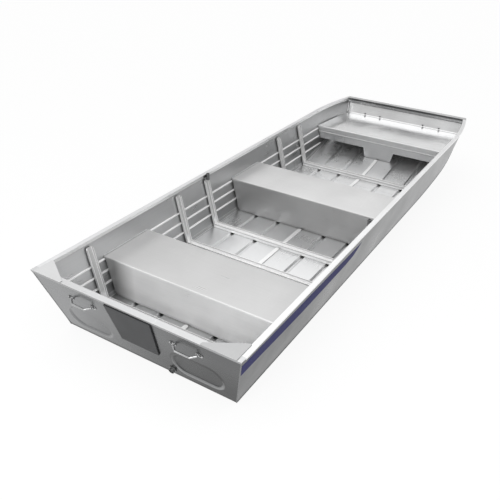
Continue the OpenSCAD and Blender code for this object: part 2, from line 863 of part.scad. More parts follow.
// Carry handle: a bent rod on two flat oval feet. X along the grip, Z off the plate
handle_foot_t = 3;
handle_foot_l = 38;
handle_foot_w = 22;
handle_foot_out = 9;
module rod(p, q, d) {
    v = q - p;
    turn = atan2(v[1], v[0]);
    tilt = acos(v[2] / norm(v));
    translate(p) rotate([0, tilt, turn]) cylinder(d = d, h = norm(v), $fn = 24);
}
module carry_handle() {
    d = handle_rod_d;
    seat = handle_foot_t / 2;
    bends = [
        [-handle_span / 2, 0, seat],
        [-handle_span / 2, 0, handle_reach * 0.35],
        [-handle_grip / 2, 0, handle_reach],
        [handle_grip / 2, 0, handle_reach],
        [handle_span / 2, 0, handle_reach * 0.35],
        [handle_span / 2, 0, seat]
    ];
    for (i = [0 : len(bends) - 2])
        rod(bends[i], bends[i + 1], d);
    for (i = [1 : len(bends) - 2])
        translate(bends[i]) sphere(d = d * 1.06, $fn = 24);
    flat = handle_foot_l - handle_foot_w;
    for (s = [-1, 1])
        translate([s * (handle_span / 2 + handle_foot_out), 0, seat_gap])
            linear_extrude(handle_foot_t) {
                square([flat, handle_foot_w], center = true);
                for (e = [-1, 1])
                    translate([e * flat / 2, 0]) circle(d = handle_foot_w);
            }
}
module stern_handle(s) {
    color(rod_grey) afloat() on_transom(transom_t)
        translate([s * stern_handle_y, slope_z(stern_handle_z), 0]) carry_handle();
}
module handle_stern_port() { stern_handle(-1); }
module handle_stern_starboard() { stern_handle(1); }

// Bow handles stand off the outside of the flat of the bow
module bow_handle(s) {
    x = bow_foot_x + (bow_handle_z - bow_foot_z) * bow_lean;
    color(rod_grey) afloat()
        translate([x, s * bow_handle_y, bow_handle_z])
            rotate([0, 90 + bow_rake, 0])
                translate([0, 0, bottom_t])
                    rotate([0, 0, 90]) carry_handle();
}
module handle_bow_port() { bow_handle(1); }
module handle_bow_starboard() { bow_handle(-1); }

// Oar socket: a bored sleeve on a plate against the inner lip of the gunwale
oar_stand = 8;
module oar_socket() {
    y_lip = side_y(oar_x, depth) + gunwale_t - gunwale_w - seat_gap;
    top = depth + oar_stand;
    sleeve_d = oar_bore_d + 2 * oar_wall;
    plate_t = 4;
    plate_w = 56;
    y_c = y_lip - plate_t - sleeve_d / 2 + 1;
    difference() {
        union() {
            translate([oar_x, y_c, top - oar_socket_l]) cylinder(d = sleeve_d, h = oar_socket_l);
            translate([oar_x - plate_w / 2, y_lip - plate_t, depth - gunwale_inner_lip])
                cube([plate_w, plate_t, gunwale_inner_lip]);
        }
        translate([oar_x, y_c, top - oar_socket_l - past])
            cylinder(d = oar_bore_d, h = oar_socket_l + 2 * past);
    }
}
module oar_socket_port() {
    color(dark) afloat() oar_socket();
}
module oar_socket_starboard() {
    color(dark) afloat() mirror([0, 1, 0]) oar_socket();
}

bottom_plate();
bow_plate();
chine_port();
chine_starboard();
side_port();
side_starboard();
transom_plate();
transom_cap();
bow_cap();
gunwale_port();
gunwale_starboard();
knee_port();
knee_starboard();
rails_port();
rails_starboard();
rib_1();
rib_2();
rib_3();
rib_4();
rib_5();
rear_bench();
mid_bench();
bow_deck();
deck_face();
keelson();
keel();
motor_pad();
motor_board();
drain_fitting();
handle_stern_port();
handle_stern_starboard();
handle_bow_port();
handle_bow_starboard();
oar_socket_port();
oar_socket_starboard();
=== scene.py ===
import math

import bpy
from mathutils import Matrix, Vector
from mathutils.bvhtree import BVHTree


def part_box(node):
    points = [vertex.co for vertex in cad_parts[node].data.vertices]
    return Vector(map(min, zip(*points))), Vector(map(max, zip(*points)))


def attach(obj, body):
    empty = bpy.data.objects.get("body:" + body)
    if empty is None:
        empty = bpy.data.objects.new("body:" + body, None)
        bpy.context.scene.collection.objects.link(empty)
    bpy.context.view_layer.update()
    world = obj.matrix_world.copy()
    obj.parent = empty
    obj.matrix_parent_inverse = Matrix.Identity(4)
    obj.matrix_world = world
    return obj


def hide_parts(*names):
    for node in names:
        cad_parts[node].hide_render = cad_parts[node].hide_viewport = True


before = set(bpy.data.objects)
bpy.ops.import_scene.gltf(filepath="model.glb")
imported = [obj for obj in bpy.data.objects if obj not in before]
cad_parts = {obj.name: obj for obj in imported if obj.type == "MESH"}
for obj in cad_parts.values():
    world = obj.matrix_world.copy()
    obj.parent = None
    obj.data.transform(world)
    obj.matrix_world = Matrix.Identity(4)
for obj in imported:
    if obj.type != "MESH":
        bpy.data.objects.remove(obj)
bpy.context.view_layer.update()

# Bottom and bow sheets
# Two sheets of rolled aluminium with four pressed grooves: the flat of the bottom, and the bow that carries
# the grooves on up the sweep. Their edges are welded to the side sheets, and an angle stiffens each chine
# inside.
floor_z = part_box("bottom_plate")[1].z
stern_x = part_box("bottom_plate")[0].x


def boat(x, y, z):
    """A place measured from the foot of the transom, the centreline and the floor inside."""
    return Vector((stern_x + x, y, floor_z + z))


def add_node(tree, kind, feeds=None, **settings):
    """Adds a node; feeds pairs each input with a value or with another node's output."""
    made = tree.nodes.new(kind)
    for key, value in settings.items():
        setattr(made, key, value)
    for key, value in (feeds or {}).items():
        if isinstance(value, bpy.types.NodeSocket):
            tree.links.new(value, made.inputs[key])
        else:
            made.inputs[key].default_value = value
    return made


def shader_group(name, inputs, outputs):
    """Makes an empty shader group with named sockets."""
    group = bpy.data.node_groups.new(name, "ShaderNodeTree")
    for label, kind, value in inputs:
        socket = group.interface.new_socket(name=label, in_out="INPUT", socket_type=kind)
        socket.default_value = value
    for label, kind in outputs:
        group.interface.new_socket(name=label, in_out="OUTPUT", socket_type=kind)
    return group, group.nodes.new("NodeGroupInput").outputs, group.nodes.new("NodeGroupOutput").inputs


def calc(tree, operation, a, b=0.0, c=0.0):
    return add_node(tree, "ShaderNodeMath", {0: a, 1: b, 2: c}, operation=operation).outputs[0]


def noise(tree, place, scale, detail):
    feeds = {"Vector": place, "Scale": scale, "Detail": detail, "Roughness": 0.55}
    return add_node(tree, "ShaderNodeTexNoise", feeds).outputs["Fac"]


def ramp(tree, value, low, high, start=0.0, end=1.0):
    """Goes from start to end while a value goes from low to high."""
    feeds = {"Value": value, "From Min": low, "From Max": high, "To Min": start, "To Max": end}
    return add_node(tree, "ShaderNodeMapRange", feeds).outputs["Result"]


def both(tree, a, b):
    """The share of a surface that two masks have in common."""
    return calc(tree, "MULTIPLY", a, b)


# Rolling leaves fine streaks along the sheet, cloudy patches where it was handled, and a few long scuffs
rolled_sheet, given, put = shader_group(
    "rolled_sheet",
    [
        ("Colour", "NodeSocketColor", (0.7, 0.7, 0.7, 1.0)),
        ("Stretch", "NodeSocketVector", (5.0, 240.0, 240.0)),
        ("Grain", "NodeSocketFloat", 0.1),
        ("Clouds", "NodeSocketFloat", 0.2),
        ("Scuffs", "NodeSocketFloat", 0.3),
        ("Base Roughness", "NodeSocketFloat", 0.4),
        ("Crevice Shade", "NodeSocketFloat", 0.5),
    ],
    [("Colour", "NodeSocketColor"), ("Roughness", "NodeSocketFloat"), ("Height", "NodeSocketFloat")],
)
place = add_node(rolled_sheet, "ShaderNodeTexCoord").outputs["Object"]
along = add_node(
    rolled_sheet, "ShaderNodeVectorMath", {0: place, 1: given["Stretch"]}, operation="MULTIPLY"
).outputs[0]
streaks = calc(rolled_sheet, "SUBTRACT", noise(rolled_sheet, along, 1.0, 5.0), 0.5)
handled = noise(rolled_sheet, place, 3.4, 3.0)
clouds = calc(rolled_sheet, "SUBTRACT", handled, 0.5)
slant = add_node(
    rolled_sheet,
    "ShaderNodeMapping",
    {"Vector": place, "Rotation": (0.25, 0.4, 0.7), "Scale": (9.0, 310.0, 310.0)},
).outputs[0]
scuffs = calc(
    rolled_sheet,
    "MULTIPLY",
    ramp(rolled_sheet, noise(rolled_sheet, slant, 1.0, 2.0), 0.62, 0.74),
    ramp(rolled_sheet, handled, 0.42, 0.62),
)
scuffed = calc(rolled_sheet, "MULTIPLY", scuffs, given["Scuffs"])
tone = calc(rolled_sheet, "MULTIPLY_ADD", streaks, given["Grain"], 1.0)
tone = calc(rolled_sheet, "MULTIPLY_ADD", clouds, given["Clouds"], tone)
tone = calc(rolled_sheet, "MULTIPLY_ADD", scuffed, 0.25, tone)
# Painted shade darkens the sheet in crevices, read from ambient occlusion
reach = add_node(rolled_sheet, "ShaderNodeAmbientOcclusion", {"Distance": 0.03}, samples=8).outputs["AO"]
hidden = calc(rolled_sheet, "SUBTRACT", 1.0, ramp(rolled_sheet, reach, 0.25, 0.85))
unshaded = calc(rolled_sheet, "SUBTRACT", 1.0, calc(rolled_sheet, "MULTIPLY", hidden, given["Crevice Shade"]))
tone = calc(rolled_sheet, "MULTIPLY", tone, unshaded)
deep = calc(rolled_sheet, "MULTIPLY", ramp(rolled_sheet, reach, 0.4, 0.2), given["Crevice Shade"])
tone = calc(rolled_sheet, "MULTIPLY", tone, calc(rolled_sheet, "SUBTRACT", 1.0, deep))
toned = add_node(
    rolled_sheet, "ShaderNodeVectorMath", {0: given["Colour"], "Scale": tone}, operation="SCALE"
).outputs[0]
rough = calc(rolled_sheet, "MULTIPLY_ADD", clouds, 0.28, given["Base Roughness"])
rough = calc(rolled_sheet, "MULTIPLY_ADD", streaks, 0.12, rough)
rough = calc(rolled_sheet, "MULTIPLY_ADD", scuffed, -0.2, rough)
height = calc(rolled_sheet, "MULTIPLY_ADD", scuffed, -0.8, streaks)
for socket, value in (("Colour", toned), ("Roughness", rough), ("Height", height)):
    rolled_sheet.links.new(value, put[socket])

ALONG_BOAT = (5.0, 240.0, 240.0)
ACROSS_BOAT = (240.0, 5.0, 240.0)


def metal(
    name, colour, roughness, stretch, grain=0.12, clouds=0.25, scuffs=0.4, bump=0.07, metallic=0.9, crevice_shade=0.6
):
    """A metal surface with its own colour, its own share of streaks, clouds and scuffs, and its own share of
    painted shade in crevices.
    """
    made = bpy.data.materials.new(name)
    made.use_nodes = True
    tree = made.node_tree
    shader = tree.nodes["Principled BSDF"]
    shader.inputs["Metallic"].default_value = metallic
    feeds = {
        "Colour": (*colour, 1.0),
        "Stretch": stretch,
        "Grain": grain,
        "Clouds": clouds,
        "Scuffs": scuffs,
        "Base Roughness": roughness,
        "Crevice Shade": crevice_shade,
    }
    finish = add_node(tree, "ShaderNodeGroup", feeds, node_tree=rolled_sheet, name="finish")
    feeds = {"Strength": bump, "Distance": 0.0008, "Height": finish.outputs["Height"]}
    relief = add_node(tree, "ShaderNodeBump", feeds)
    tree.links.new(finish.outputs["Colour"], shader.inputs["Base Color"])
    tree.links.new(finish.outputs["Roughness"], shader.inputs["Roughness"])
    tree.links.new(relief.outputs["Normal"], shader.inputs["Normal"])
    return made


# Curved sheet is shaded smooth, and folds sharper than this keep their line
fold_angle = math.radians(28)
soft_folds = bpy.data.node_groups.new("soft_folds", "GeometryNodeTree")
for way in ("INPUT", "OUTPUT"):
    soft_folds.interface.new_socket(name="Geometry", in_out=way, socket_type="NodeSocketGeometry")
fold = soft_folds.interface.new_socket(name="Fold Angle", in_out="INPUT", socket_type="NodeSocketFloat")
fold.default_value = fold_angle
given = soft_folds.nodes.new("NodeGroupInput").outputs
feeds = {"Geometry": given["Geometry"], "Name": "custom_normal"}
bare = add_node(soft_folds, "GeometryNodeRemoveAttribute", feeds)
feeds = {"Geometry": bare.outputs[0], "Distance": 0.00001}
whole = add_node(soft_folds, "GeometryNodeMergeByDistance", feeds)
feeds = {"Geometry": whole.outputs[0], "Shade Smooth": True}
smooth = add_node(soft_folds, "GeometryNodeSetShadeSmooth", feeds)
bend = add_node(soft_folds, "GeometryNodeInputMeshEdgeAngle")
gentle = add_node(
    soft_folds,
    "FunctionNodeCompare",
    {0: bend.outputs["Unsigned Angle"], 1: given["Fold Angle"]},
    operation="LESS_THAN",
)
creased = add_node(
    soft_folds,
    "GeometryNodeSetShadeSmooth",
    {"Geometry": smooth.outputs[0], "Shade Smooth": gentle.outputs[0]},
    domain="EDGE",
)
soft_folds.links.new(creased.outputs[0], soft_folds.nodes.new("NodeGroupOutput").inputs[0])


def round_edges(made, radius):
    """Rounds the sheared or sawn edges of a piece by a small radius."""
    edge = made.modifiers.new("rounded edges", "BEVEL")
    edge.width = radius
    edge.segments = 2
    edge.limit_method = "ANGLE"
    edge.angle_limit = fold_angle
    edge.harden_normals = True


def soften(made, radius, keep_folds=fold_angle):
    """Shades the gentle bends of a piece smooth and rounds its edges."""
    folds = made.modifiers.new("soft folds", "NODES")
    folds.node_group = soft_folds
    folds[fold.identifier] = keep_folds
    round_edges(made, radius)


def dress(nodes, finish, radius=0.0009, keep_folds=fold_angle):
    """Gives pieces of the frame their finish and rounded edges."""
    for name in nodes:
        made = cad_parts[name]
        made.data.materials.clear()
        made.data.materials.append(finish)
        soften(made, radius, keep_folds)


def piece(name, shape, finish, flat=False):
    """Makes a piece from points and faces, and fixes it to the hull."""
    points, faces = shape
    mesh = bpy.data.meshes.new(name)
    mesh.from_pydata(points, [], faces)
    mesh.update()
    mesh.polygons.foreach_set("use_smooth", [not flat] * len(mesh.polygons))
    mesh.materials.append(finish)
    made = bpy.data.objects.new(name, mesh)
    bpy.context.collection.objects.link(made)
    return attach(made, "root")


def joined(shapes):
    """Several shapes as one list of points and one of faces."""
    points, faces = [], []
    for shape in shapes:
        start = len(points)
        points.extend(shape[0])
        faces.extend([tuple(start + i for i in face) for face in shape[1]])
    return points, faces


surfaces = {}


def touch(name, start, way):
    """Where a straight line from start first meets a piece of the frame."""
    if name not in surfaces:
        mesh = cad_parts[name].data
        corners = [v.co.copy() for v in mesh.vertices]
        surfaces[name] = BVHTree.FromPolygons(corners, [tuple(p.vertices) for p in mesh.polygons])
    return surfaces[name].ray_cast(Vector(start), Vector(way).normalized())[0]


def evenly(line, step):
    """Points and directions at even steps along a line of points."""
    left = 0.0
    for a, b in zip(line, line[1:]):
        length = (b - a).length
        way = (b - a).normalized()
        while left < length:
            yield a + way * left, way
            left += step
        left -= length


def on_side(x, z, s, outside=False):
    """A place on the inner or the outer face of a side sheet; s is 1 to port and -1 to starboard."""
    name = "side_port" if s > 0 else "side_starboard"
    if outside:
        return touch(name, (x, s * 2, z), (0, -s, 0))
    return touch(name, (x, 0, z), (0, s, 0))


def ring(centre, way, radius, count):
    """Points evenly round a circle that is square to a direction."""
    across = way.orthogonal().normalized()
    up = way.cross(across)
    turns = [2 * math.pi * i / count for i in range(count)]
    return [centre + (across * math.cos(turn) + up * math.sin(turn)) * radius for turn in turns]


BEAD_SIDES = 8
BEAD_ROWS = (0.5, 1.0, 1.5, 2.0, 2.5)
BEAD_STEP, BEAD_REACH = 0.5, 0.36


def weld(line, width):
    """A run of weld: overlapping beads, each flattened along the seam."""
    beads = []
    for centre, way in evenly(line, width * BEAD_STEP):
        ahead = way * width * BEAD_REACH
        points = [centre - ahead]
        for row in BEAD_ROWS:
            lean = math.pi * row / 3.0
            points.extend(ring(centre - ahead * math.cos(lean), way, width / 2 * math.sin(lean), BEAD_SIDES))
        points.append(centre + ahead)
        last = len(points) - 1
        faces = []
        for i in range(BEAD_SIDES):
            j = (i + 1) % BEAD_SIDES
            faces.append((0, 1 + j, 1 + i))
            for row in range(len(BEAD_ROWS) - 1):
                a = 1 + row * BEAD_SIDES
                faces.append((a + i, a + j, a + BEAD_SIDES + j, a + BEAD_SIDES + i))
            end = last - BEAD_SIDES
            faces.append((end + i, end + j, last))
        beads.append((points, faces))
    return joined(beads)


def where(tree):
    """The place of a point of a surface, along, across and up."""
    place = add_node(tree, "ShaderNodeTexCoord").outputs["Object"]
    return add_node(tree, "ShaderNodeSeparateXYZ", {0: place}).outputs


def facing(tree):
    """The way a surface is turned, along, across and up."""
    normal = add_node(tree, "ShaderNodeNewGeometry").outputs["True Normal"]
    return add_node(tree, "ShaderNodeSeparateXYZ", {0: normal}).outputs


def tint(made, share, colour):
    """Blends a finish towards another colour by a share that changes over the surface."""
    tree = made.node_tree
    into = tree.nodes["finish"].inputs["Colour"]
    before = into.links[0].from_socket if into.links else tuple(into.default_value)
    blend = add_node(tree, "ShaderNodeMix", {0: share, 6: before, 7: (*colour, 1.0)}, data_type="RGBA")
    tree.links.new(blend.outputs[2], into)


floor_sheet = metal(
    "floor_sheet", (0.77, 0.775, 0.78), 0.31, ALONG_BOAT,
    grain=0.06, clouds=0.14, scuffs=0.0, bump=0.03, crevice_shade=0.6,
)
tree = floor_sheet.node_tree
# Painted shade darkens the walls of the grooves and the floor of the well at the stern
groove_wall_shade = ramp(tree, calc(tree, "ABSOLUTE", facing(tree)["Y"]), 0.15, 0.5)
well_shade = ramp(tree, where(tree)["X"], stern_x + 0.42, stern_x + 0.3)
well_shade = both(tree, well_shade, ramp(tree, facing(tree)["Z"], 0.0, 0.2))
tint(floor_sheet, groove_wall_shade, (0.66, 0.663, 0.666))
tint(floor_sheet, well_shade, (0.52, 0.523, 0.526))
dress(["bottom_plate"], floor_sheet)
bow_sheet = metal("bow_sheet", (0.72, 0.723, 0.726), 0.30, ALONG_BOAT, clouds=0.2, scuffs=0.1, metallic=0.85)
dress(["bow_plate"], bow_sheet)
chine_metal = metal("chine_metal", (0.80, 0.805, 0.81), 0.38, ALONG_BOAT, metallic=0.6)
tree = chine_metal.node_tree
# Painted shade: the standing leg of each angle is darker than its foot
standing_shade = ramp(tree, calc(tree, "ABSOLUTE", facing(tree)["Y"]), 0.4, 0.8)
tint(chine_metal, standing_shade, (0.40, 0.403, 0.406))
dress(["chine_port", "chine_starboard"], chine_metal, 0.0006)

BEAD_GRAIN = (90.0, 90.0, 90.0)
dull_weld = metal("dull_weld", (0.26, 0.263, 0.266), 0.42, BEAD_GRAIN, grain=0.3, bump=0.3)
weld_w, weld_sunk = 0.006, 0.001
seam_y, seam_up, seam_start, seam_steps = 0.46, 0.003, 0.004, 60
sides = (("port", 1), ("starboard", -1))


def foot_of_side(x, s):
    """The outside corner of the bottom and a side sheet, at a place along the boat."""
    sheet = "bottom_plate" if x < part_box("bottom_plate")[1].x else "bow_plate"
    low = touch(sheet, (x, s * seam_y, -1), (0, 0, 1))
    out = on_side(x, low.z + seam_up, s, outside=True)
    return Vector((x, out.y - s * weld_sunk, low.z + weld_sunk))


seam_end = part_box("chine_port")[1].x
seam_xs = [stern_x + seam_start + (seam_end - stern_x) * i / seam_steps for i in range(seam_steps + 1)]
for side, s in sides:
    run = weld([foot_of_side(x, s) for x in seam_xs], weld_w)
    piece(f"chine_weld_{side}", run, dull_weld)

# Side sheets
# One long sheet of rolled aluminium on each side, flared outward and drawn in at the bow. They are welded to
# the bottom, the transom and the flat of the bow, and carry a plain painted stripe below the gunwale.
side_sheet = metal(
    "side_sheet", (0.74, 0.745, 0.75), 0.32, ALONG_BOAT, clouds=0.22, metallic=0.85, crevice_shade=0.25
)
tree = side_sheet.node_tree
spot = where(tree)
forward_shade = ramp(tree, spot["X"], stern_x + 0.9, stern_x + 1.7)
low_shade = ramp(tree, spot["Z"], floor_z + 0.2, floor_z + 0.05)
outboard_shade = calc(tree, "MULTIPLY", facing(tree)["Y"], calc(tree, "SIGN", spot["Y"]))
outboard_shade = ramp(tree, outboard_shade, -0.1, 0.1)
aft_shade = ramp(tree, spot["X"], stern_x + 2.6, stern_x)
# Painted shade: the sheet is darker forward and low down, and its outside is darker than its inside, most of
# all towards the stern
tint(side_sheet, forward_shade, (0.52, 0.524, 0.528))
tint(side_sheet, low_shade, (0.42, 0.425, 0.43))
tint(side_sheet, outboard_shade, (0.26, 0.263, 0.266))
tint(side_sheet, both(tree, outboard_shade, aft_shade), (0.07, 0.072, 0.074))
dress(["side_port", "side_starboard"], side_sheet)

stripe_x0, stripe_x1 = -0.11, 1.17
stripe_steps = 72
stripe_inset, paint_t = 0.004, 0.0003
transom_rake = math.radians(17.5)
# Height of the lower and upper edge of the stripe at places along the boat
stripe_edges = (
    (-0.11, 0.240, 0.322), (0.05, 0.237, 0.321), (0.25, 0.227, 0.316), (0.50, 0.218, 0.312),
    (0.75, 0.222, 0.307), (1.00, 0.226, 0.301), (1.10, 0.240, 0.300), (1.17, 0.299, 0.300),
)


def stripe_at(x):
    """Heights of the two edges of the stripe at a place along the boat."""
    for a, b in zip(stripe_edges, stripe_edges[1:]):
        if x <= b[0]:
            share = (x - a[0]) / (b[0] - a[0])
            return [a[i] + (b[i] - a[i]) * share for i in (1, 2)]
    return stripe_edges[-1][1:]


def stripe(s):
    """A thin skin of paint on the outside of a side sheet."""
    points, faces = [], []
    for k in range(stripe_steps + 1):
        x = stripe_x0 + (stripe_x1 - stripe_x0) * k / stripe_steps
        for z in stripe_at(x):
            start = max(x, stripe_inset - z * math.tan(transom_rake))
            on = on_side(stern_x + start, floor_z + z, s, outside=True)
            points.append(on + Vector((0, s * paint_t, 0)))
            points.append(on - Vector((0, s * paint_t, 0)))
    for k in range(stripe_steps):
        a, b = 4 * k, 4 * k + 4
        for i, j in ((0, 2), (2, 3), (3, 1), (1, 0)):
            face = (a + i, b + i, b + j, a + j)
            faces.append(face if s < 0 else face[::-1])
    end = 4 * stripe_steps
    caps = [(0, 2, 3, 1), (end, end + 1, end + 3, end + 2)]
    faces.extend(caps if s < 0 else [c[::-1] for c in caps])
    return points, faces


stripe_blue = metal(
    "stripe_blue", (0.014, 0.015, 0.098), 0.6, ALONG_BOAT, grain=0.1, clouds=0.35, scuffs=0.8, metallic=0.0
)
stripe_blue.node_tree.nodes["Principled BSDF"].inputs["Specular IOR Level"].default_value = 0.12
for side, s in sides:
    piece(f"stripe_{side}", stripe(s), stripe_blue, flat=True)

# Transom
# A raked plate of heavier sheet with two stamped panels low down. It is welded round its edge to the sides
# and the bottom, and its grain runs across the boat.
transom_sheet = metal("transom_sheet", (0.62, 0.624, 0.628), 0.26, ACROSS_BOAT, clouds=0.25)
tree = transom_sheet.node_tree
spot = where(tree)
# Painted shade darkens the outside of the plate, most of all low down and to starboard
outside = ramp(tree, facing(tree)["X"], 0.2, -0.2)
starboard = both(tree, outside, ramp(tree, spot["Y"], 0.45, -0.45))
low_shade = ramp(tree, spot["Z"], floor_z + 0.26, floor_z + 0.06)
tint(transom_sheet, outside, (0.25, 0.254, 0.258))
tint(transom_sheet, starboard, (0.095, 0.097, 0.099))
tint(transom_sheet, both(tree, starboard, low_shade), (0.036, 0.037, 0.038))
# How far a point is from the outline of the stamped panel on its side, less than 0 inside it
panel_y, panel_z, panel_r = 0.331, floor_z + 0.115, 0.066
half_long, half_high = 0.139 - panel_r, 0.0725 - panel_r
off_y = calc(tree, "SUBTRACT", calc(tree, "ABSOLUTE", spot["Y"]), panel_y)
off_y = calc(tree, "MAXIMUM", calc(tree, "SUBTRACT", calc(tree, "ABSOLUTE", off_y), half_long), 0.0)
off_z = calc(tree, "ABSOLUTE", calc(tree, "SUBTRACT", spot["Z"], panel_z))
off_z = calc(tree, "MAXIMUM", calc(tree, "SUBTRACT", off_z, half_high), 0.0)
off_z = calc(tree, "MULTIPLY", off_z, off_z)
outline = calc(tree, "SQRT", calc(tree, "MULTIPLY_ADD", off_y, off_y, off_z))
outline = calc(tree, "SUBTRACT", outline, panel_r)
beside = calc(tree, "ABSOLUTE", outline)
# Painted shade darkens the starboard panel and lies in a line along the top of its rim, and a painted
# highlight lies along both rims
panel_shade = calc(tree, "MULTIPLY", both(tree, ramp(tree, outline, 0.002, -0.004), starboard), 0.6)
rim_highlight = both(tree, ramp(tree, beside, 0.011, 0.005), outside)
top = ramp(tree, spot["Z"], panel_z - 0.05, panel_z + 0.03)
rim_shade = both(tree, both(tree, ramp(tree, beside, 0.016, 0.009), top), starboard)
foot = both(tree, ramp(tree, spot["Z"], floor_z + 0.016, floor_z + 0.004), outside)
tint(transom_sheet, panel_shade, (0.04, 0.041, 0.042))
tint(transom_sheet, rim_highlight, (0.26, 0.263, 0.266))
tint(transom_sheet, rim_shade, (0.012, 0.012, 0.012))
tint(transom_sheet, foot, (0.02, 0.02, 0.02))
panel_fold = math.radians(9)
dress(["transom_plate"], transom_sheet, keep_folds=panel_fold)
transom_top, transom_foot, transom_steps = 0.352, -0.001, 8
plate_foot, plate_in, corner_sunk = 0.002, 0.008, 0.0005


def corner_of_transom(z, s):
    """The outside corner of the transom and a side sheet, at a height."""
    on_plate = max(z, plate_foot)
    back = touch("transom_plate", boat(-1, s * 0.5, on_plate), (1, 0, 0))
    out = on_side(back.x + plate_in, floor_z + on_plate, s, outside=True)
    return Vector((back.x + weld_sunk, out.y - s * corner_sunk, floor_z + z))


transom_rise = (transom_top - transom_foot) / transom_steps
for side, s in sides:
    heights = [transom_foot + transom_rise * i for i in range(transom_steps + 1)]
    run = weld([corner_of_transom(z, s) for z in heights], weld_w)
    piece(f"transom_weld_{side}", run, dull_weld)

# Gunwales and caps
# Bright aluminium extrusions pushed down over the sheared tops of the sheets: a gunwale in two lengths on
# each side, and a cap across the transom and another across the bow. Flat welded knees close the corners.
bright_metal = metal("bright_metal", (0.77, 0.775, 0.78), 0.33, ALONG_BOAT, clouds=0.12, scuffs=0.6)
tree = bright_metal.node_tree
# Painted light: the gunwales are lighter to starboard, and faces turned to starboard carry a painted
# highlight
starboard_lighting = ramp(tree, where(tree)["Y"], 0.2, -0.2)
inner_lip = ramp(tree, facing(tree)["Y"], -0.5, -0.8)
tint(bright_metal, starboard_lighting, (0.86, 0.863, 0.866))
tint(bright_metal, inner_lip, (0.97, 0.97, 0.97))
dress(["gunwale_port", "gunwale_starboard"], bright_metal)

bright_across = metal("bright_across", (0.66, 0.665, 0.67), 0.33, ACROSS_BOAT, clouds=0.15, scuffs=0.6)
tree = bright_across.node_tree
# Painted shade: the lips turned fore and aft are darker than the top
lip_shade = ramp(tree, calc(tree, "ABSOLUTE", facing(tree)["X"]), 0.5, 0.9)
tint(bright_across, lip_shade, (0.35, 0.353, 0.356))
dress(["transom_cap"], bright_across)

bow_cap_metal = metal("bow_cap_metal", (0.60, 0.603, 0.606), 0.30, ACROSS_BOAT, clouds=0.15, scuffs=0.6)
tree = bow_cap_metal.node_tree
# Painted shade: the inner lip is darker, and darkest just under the cap
inner_lip = ramp(tree, facing(tree)["X"], -0.5, -0.9)
under_cap_shade = both(tree, inner_lip, ramp(tree, where(tree)["Z"], floor_z + 0.344, floor_z + 0.350))
tint(bow_cap_metal, inner_lip, (0.40, 0.403, 0.406))
tint(bow_cap_metal, under_cap_shade, (0.10, 0.101, 0.102))
dress(["bow_cap"], bow_cap_metal)

knee_metal = metal("knee_metal", (0.66, 0.663, 0.666), 0.40, ACROSS_BOAT, metallic=0.7)
tree = knee_metal.node_tree
# Painted shade: the knees are darker to starboard
starboard_lighting = ramp(tree, where(tree)["Y"], 0.2, -0.2)
tint(knee_metal, starboard_lighting, (0.48, 0.483, 0.486))
dress(["knee_port", "knee_starboard"], knee_metal)

# Side rails and frames
# Three flat bars run along the inside of each side sheet, and five bent channels cross the floor and stand up
# both sides. They are bright extrusions, welded where they cross.
rail_metal = metal("rail_metal", (0.95, 0.95, 0.95), 0.34, ALONG_BOAT, clouds=0.08, metallic=0.4)
dress(["rails_port", "rails_starboard"], rail_metal)
frame_metal = metal(
    "frame_metal", (0.98, 0.98, 0.98), 0.34, ACROSS_BOAT, clouds=0.1, scuffs=0.1, metallic=0.35, crevice_shade=0.15
)
tree = frame_metal.node_tree
spot = where(tree)
width = add_node(tree, "ShaderNodeTexCoord").outputs["Generated"]
width = add_node(tree, "ShaderNodeSeparateXYZ", {0: width}).outputs["X"]
# Painted shade: a darker line follows the aft bend across the floor, and on the sides the web between the
# bends is darker
aft_face = ramp(tree, facing(tree)["X"], -0.4, -0.8)
bend_shade = both(tree, aft_face, ramp(tree, spot["Z"], floor_z + 0.013, floor_z + 0.017))
web_shade = ramp(tree, calc(tree, "ABSOLUTE", calc(tree, "SUBTRACT", width, 0.5)), 0.36, 0.26)
upright = ramp(tree, spot["Z"], floor_z + 0.04, floor_z + 0.07)
tint(frame_metal, bend_shade, (0.60, 0.60, 0.60))
tint(frame_metal, both(tree, web_shade, upright), (0.60, 0.60, 0.60))
dress([f"rib_{i}" for i in range(1, 6)], frame_metal, 0.0014)

